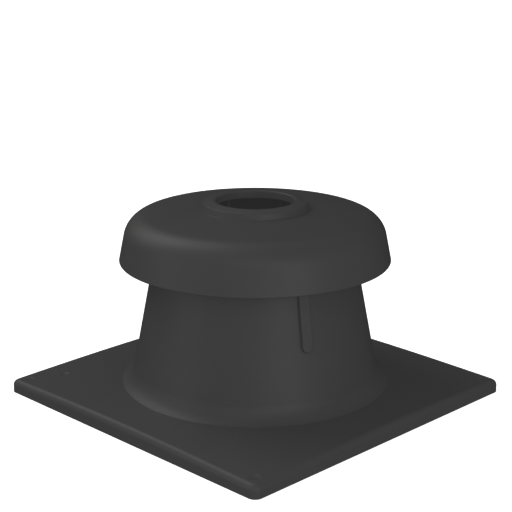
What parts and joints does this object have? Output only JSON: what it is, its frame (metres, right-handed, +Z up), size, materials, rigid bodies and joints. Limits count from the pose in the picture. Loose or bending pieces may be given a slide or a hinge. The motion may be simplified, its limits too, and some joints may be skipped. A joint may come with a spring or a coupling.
{
  "type": "flue terminal cap",
  "caption": "Square shaft cover with a conical vent neck and a mushroom rain hood with a collared hole for the flue, moulded in charcoal plastic.",
  "frame": {"origin": "middle of the cover's underside, at the level of the rim's lower edge", "axes": "+Z up along the flue, X and Y along the sides of the square cover; the picture looks at the +X, -Y corner"},
  "size_m": [0.4, 0.4, 0.2274],
  "materials": {
    "charcoal_plastic": "satin moulded, charcoal"
  },
  "bodies": {
    "root": {"shaft_cover": "charcoal_plastic", "rain_hood": "charcoal_plastic"}
  },
  "joints": []
}
